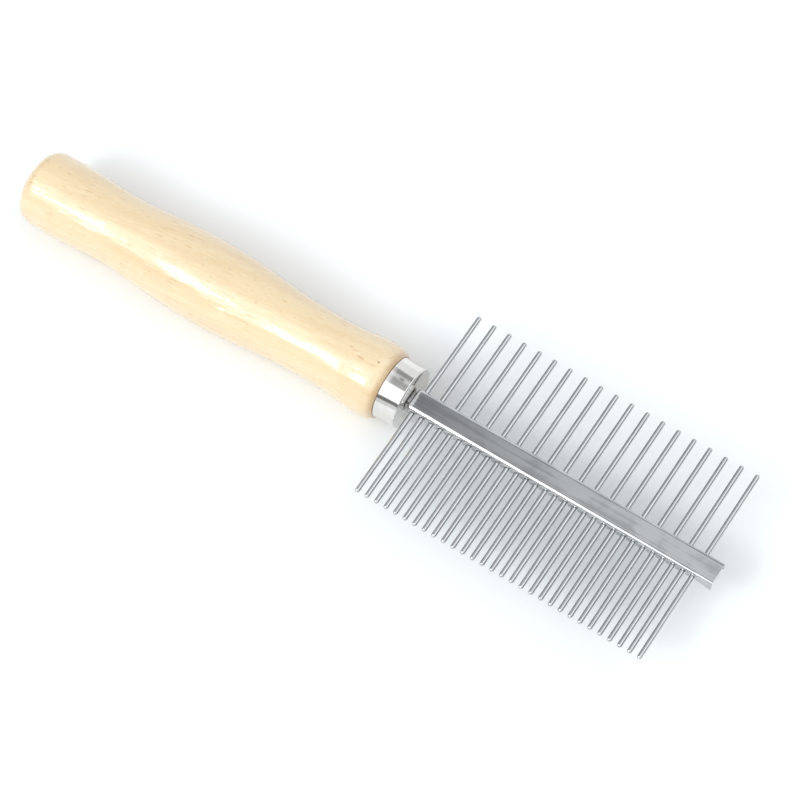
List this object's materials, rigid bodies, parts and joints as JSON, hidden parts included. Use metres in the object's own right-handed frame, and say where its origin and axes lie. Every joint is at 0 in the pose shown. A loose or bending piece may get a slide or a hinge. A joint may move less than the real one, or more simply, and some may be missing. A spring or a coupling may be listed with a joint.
{
  "type": "grooming comb",
  "caption": "Double-sided steel grooming comb: a coarse and a fine row of straight pins on a folded steel spine, with a ferrule and a turned wooden handle.",
  "frame": {"origin": "on the handle's axis, halfway between the butt of the handle and the free end of the spine, which is the centre of the comb's box", "axes": "+X along the handle's axis towards the comb's free end, +Y towards the tips of the coarse teeth, +Z out of the flat top of the spine"},
  "size_m": [0.2196, 0.0612, 0.0238],
  "materials": {
    "handle_wood": "turned beech under clear gloss lacquer",
    "ferrule_chrome": "polished, bright plated",
    "bar_steel": "plain cold-rolled bar",
    "spine_steel": "satin-bright plated sheet",
    "tooth_steel": "bright plated round wire"
  },
  "bodies": {
    "root": {"handle": "handle_wood", "ferrule": "ferrule_chrome", "core_bar": "bar_steel", "spine_cover": "spine_steel", "fine_tooth_01": "tooth_steel", "fine_tooth_02": "tooth_steel", "fine_tooth_03": "tooth_steel", "fine_tooth_04": "tooth_steel", "fine_tooth_05": "tooth_steel", "fine_tooth_06": "tooth_steel", "fine_tooth_07": "tooth_steel", "fine_tooth_08": "tooth_steel", "fine_tooth_09": "tooth_steel", "fine_tooth_10": "tooth_steel", "fine_tooth_11": "tooth_steel", "fine_tooth_12": "tooth_steel", "fine_tooth_13": "tooth_steel", "fine_tooth_14": "tooth_steel", "fine_tooth_15": "tooth_steel", "fine_tooth_16": "tooth_steel", "fine_tooth_17": "tooth_steel", "fine_tooth_18": "tooth_steel", "fine_tooth_19": "tooth_steel", "fine_tooth_20": "tooth_steel", "fine_tooth_21": "tooth_steel", "fine_tooth_22": "tooth_steel", "fine_tooth_23": "tooth_steel", "fine_tooth_24": "tooth_steel", "fine_tooth_25": "tooth_steel", "fine_tooth_26": "tooth_steel", "fine_tooth_27": "tooth_steel", "fine_tooth_28": "tooth_steel", "fine_tooth_29": "tooth_steel", "fine_tooth_30": "tooth_steel", "coarse_tooth_01": "tooth_steel", "coarse_tooth_02": "tooth_steel", "coarse_tooth_03": "tooth_steel", "coarse_tooth_04": "tooth_steel", "coarse_tooth_05": "tooth_steel", "coarse_tooth_06": "tooth_steel", "coarse_tooth_07": "tooth_steel", "coarse_tooth_08": "tooth_steel", "coarse_tooth_09": "tooth_steel", "coarse_tooth_10": "tooth_steel", "coarse_tooth_11": "tooth_steel", "coarse_tooth_12": "tooth_steel", "coarse_tooth_13": "tooth_steel", "coarse_tooth_14": "tooth_steel", "coarse_tooth_15": "tooth_steel", "coarse_tooth_16": "tooth_steel", "coarse_tooth_17": "tooth_steel", "coarse_tooth_18": "tooth_steel", "coarse_tooth_19": "tooth_steel"}
  },
  "joints": []
}
